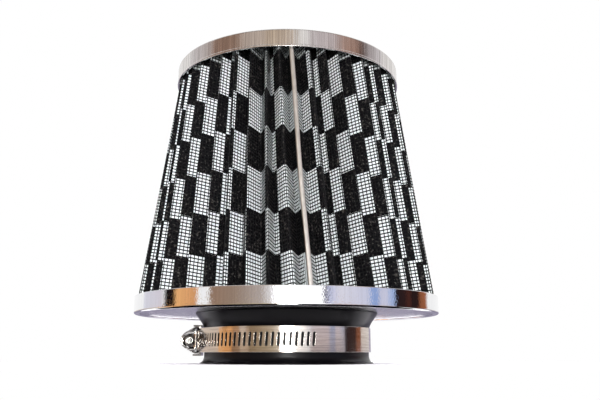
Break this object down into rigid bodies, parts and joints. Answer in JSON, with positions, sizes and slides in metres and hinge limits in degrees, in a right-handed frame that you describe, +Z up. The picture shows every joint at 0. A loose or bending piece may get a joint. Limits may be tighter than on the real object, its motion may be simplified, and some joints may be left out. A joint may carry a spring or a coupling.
{
  "type": "cone air filter",
  "caption": "Cone-shaped clamp-on engine air filter with pleated checked fabric, a chromed cap and base ring, and a rubber neck held by a worm-drive hose clamp.",
  "frame": {"origin": "centre of the neck's mouth, on the plane that the filter stands on", "axes": "+Z up the filter's axis from the neck to the cap, -Y to the front, -X to the clamp's housing"},
  "size_m": [0.155, 0.155, 0.156],
  "materials": {
    "chrome": "mirror",
    "potting": "satin",
    "neck_rubber": "satin",
    "checked_fabric": "black and white checked weave under a black net",
    "clip_metal": "satin",
    "screen_metal": "galvanised",
    "clamp_steel": "bright stainless",
    "screw_steel": "bright zinc plate"
  },
  "bodies": {
    "filter": {"base_ring": "chrome", "top_cap": "chrome", "top_sealant": "potting", "base_sealant": "potting", "rubber_neck": "neck_rubber", "pleated_media": "checked_fabric", "seam_clip": "clip_metal", "inner_screen": "screen_metal", "clamp_band": "clamp_steel", "clamp_saddle": "clamp_steel", "clamp_housing": "clamp_steel"},
    "worm": {"clamp_screw": "screw_steel"}
  },
  "joints": [
    {"name": "clamp_screw_turn", "type": "hinge", "parent": "filter", "child": "worm", "pos_m": [-0.04895, 0, 0.0115], "axis": [0, -1, 0], "continuous": true}
  ]
}
